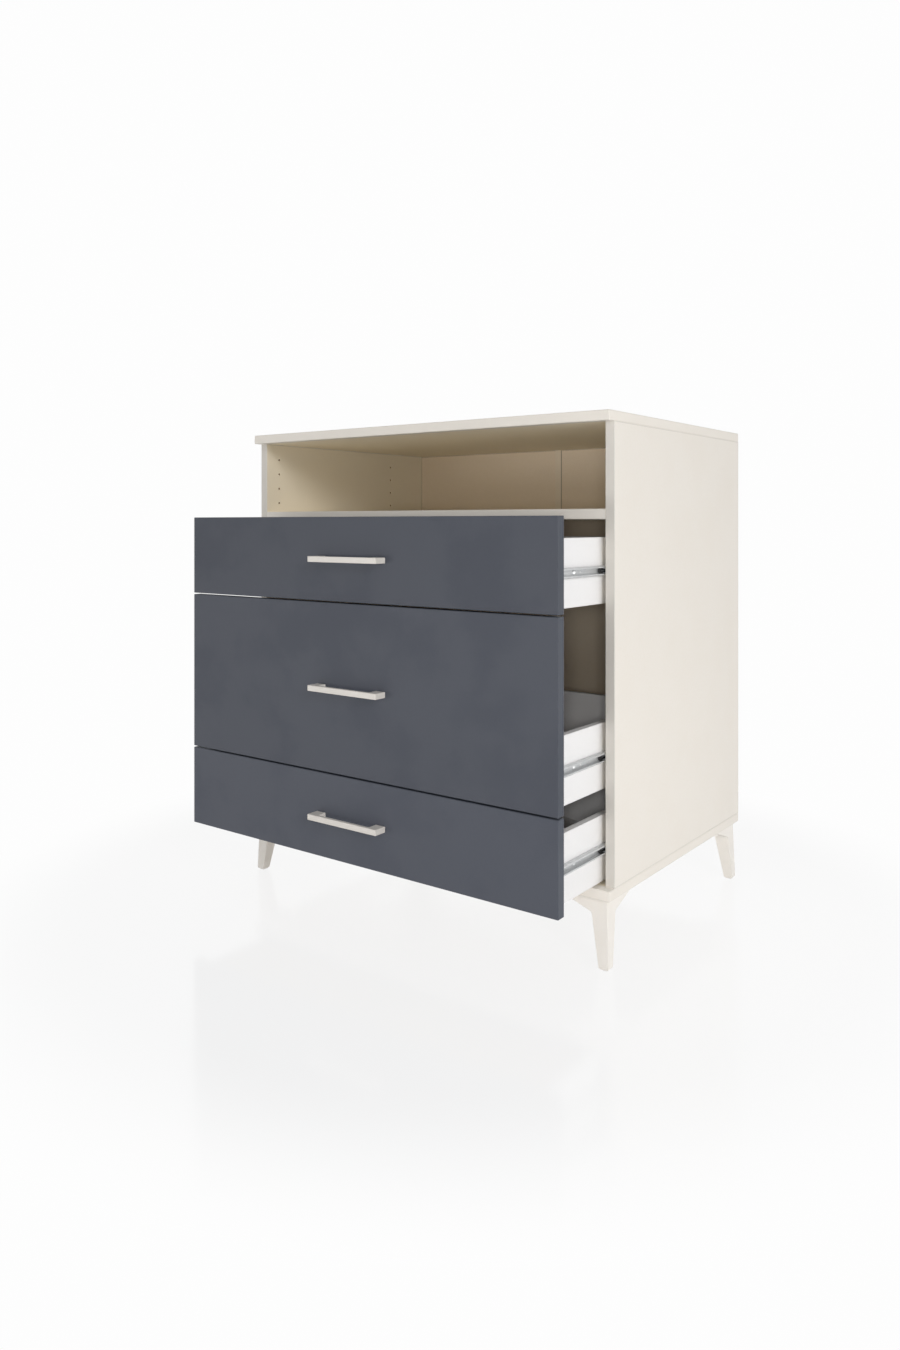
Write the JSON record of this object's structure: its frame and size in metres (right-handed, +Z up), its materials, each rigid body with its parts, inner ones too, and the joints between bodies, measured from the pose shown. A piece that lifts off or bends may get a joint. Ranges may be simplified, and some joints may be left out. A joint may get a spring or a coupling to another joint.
{
  "type": "commode chest",
  "caption": "Free-standing board chest with an open compartment above sliding drawers on ball-bearing runners, bar handles and tapered corner feet.",
  "frame": {"origin": "middle of the bounding box on the floor, with the drawers as far out as in the picture", "axes": "+Z up, +Y from the drawer fronts to the back, +X to the right as seen from the front"},
  "size_m": [0.87, 0.777, 0.95],
  "materials": {
    "cream_board": "smooth satin melamine in a warm cream",
    "back_board": "lacquered thin fibreboard in the same cream",
    "slate_front": "smooth matt blue-grey",
    "white_board": "smooth matt white",
    "cream_plastic": "moulded, fine satin",
    "cream_handle": "smooth satin powder coat in cream",
    "zinc_steel": "rolled, bright zinc plated",
    "black_plastic": "moulded, satin black"
  },
  "bodies": {
    "carcass": {"top_panel": "cream_board", "bottom_panel": "cream_board", "left_side_panel": "cream_board", "right_side_panel": "cream_board", "fixed_shelf": "cream_board", "back_panel_left": "back_board", "back_panel_right": "back_board", "back_joint_strip": "cream_plastic", "front_foot_left": "cream_plastic", "front_foot_right": "cream_plastic", "back_foot_left": "cream_plastic", "back_foot_right": "cream_plastic", "upper_cabinet_rail_left": "zinc_steel", "upper_cabinet_rail_right": "zinc_steel", "middle_cabinet_rail_left": "zinc_steel", "middle_cabinet_rail_right": "zinc_steel", "lower_cabinet_rail_left": "zinc_steel", "lower_cabinet_rail_right": "zinc_steel"},
    "upper_drawer": {"upper_drawer_front": "slate_front", "upper_drawer_handle": "cream_handle", "upper_drawer_side_left": "white_board", "upper_drawer_side_right": "white_board", "upper_drawer_back": "white_board", "upper_drawer_bottom": "white_board", "upper_drawer_rail_left": "zinc_steel", "upper_drawer_rail_right": "zinc_steel"},
    "middle_drawer": {"middle_drawer_front": "slate_front", "middle_drawer_handle": "cream_handle", "middle_drawer_side_left": "white_board", "middle_drawer_side_right": "white_board", "middle_drawer_back": "white_board", "middle_drawer_bottom": "white_board", "middle_drawer_rail_left": "zinc_steel", "middle_drawer_rail_right": "zinc_steel"},
    "lower_drawer": {"lower_drawer_front": "slate_front", "lower_drawer_handle": "cream_handle", "lower_drawer_side_left": "white_board", "lower_drawer_side_right": "white_board", "lower_drawer_back": "white_board", "lower_drawer_bottom": "white_board", "lower_drawer_rail_left": "zinc_steel", "lower_drawer_rail_right": "zinc_steel"},
    "upper_ball_cage_left": {"upper_ball_cage_left": "black_plastic"},
    "upper_ball_cage_right": {"upper_ball_cage_right": "black_plastic"},
    "middle_ball_cage_left": {"middle_ball_cage_left": "black_plastic"},
    "middle_ball_cage_right": {"middle_ball_cage_right": "black_plastic"},
    "lower_ball_cage_left": {"lower_ball_cage_left": "black_plastic"},
    "lower_ball_cage_right": {"lower_ball_cage_right": "black_plastic"}
  },
  "joints": [
    {"name": "upper_drawer_slide", "type": "slide", "parent": "carcass", "child": "upper_drawer", "axis": [0, -1, 0], "range_m": [-0.166, 0.172]},
    {"name": "middle_drawer_slide", "type": "slide", "parent": "carcass", "child": "middle_drawer", "axis": [0, -1, 0], "range_m": [-0.166, 0.172]},
    {"name": "lower_drawer_slide", "type": "slide", "parent": "carcass", "child": "lower_drawer", "axis": [0, -1, 0], "range_m": [-0.166, 0.172]},
    {"name": "upper_ball_cage_left_slide", "type": "slide", "parent": "carcass", "child": "upper_ball_cage_left", "axis": [0, -1, 0], "range_m": [-0.083, 0.086]},
    {"name": "upper_ball_cage_right_slide", "type": "slide", "parent": "carcass", "child": "upper_ball_cage_right", "axis": [0, -1, 0], "range_m": [-0.083, 0.086]},
    {"name": "middle_ball_cage_left_slide", "type": "slide", "parent": "carcass", "child": "middle_ball_cage_left", "axis": [0, -1, 0], "range_m": [-0.083, 0.086]},
    {"name": "middle_ball_cage_right_slide", "type": "slide", "parent": "carcass", "child": "middle_ball_cage_right", "axis": [0, -1, 0], "range_m": [-0.083, 0.086]},
    {"name": "lower_ball_cage_left_slide", "type": "slide", "parent": "carcass", "child": "lower_ball_cage_left", "axis": [0, -1, 0], "range_m": [-0.083, 0.086]},
    {"name": "lower_ball_cage_right_slide", "type": "slide", "parent": "carcass", "child": "lower_ball_cage_right", "axis": [0, -1, 0], "range_m": [-0.083, 0.086]}
  ],
  "couplings": [
    {"joint": "upper_ball_cage_left_slide", "follows": "upper_drawer_slide", "ratio": 0.5},
    {"joint": "upper_ball_cage_right_slide", "follows": "upper_drawer_slide", "ratio": 0.5},
    {"joint": "middle_ball_cage_left_slide", "follows": "middle_drawer_slide", "ratio": 0.5},
    {"joint": "middle_ball_cage_right_slide", "follows": "middle_drawer_slide", "ratio": 0.5},
    {"joint": "lower_ball_cage_left_slide", "follows": "lower_drawer_slide", "ratio": 0.5},
    {"joint": "lower_ball_cage_right_slide", "follows": "lower_drawer_slide", "ratio": 0.5}
  ]
}
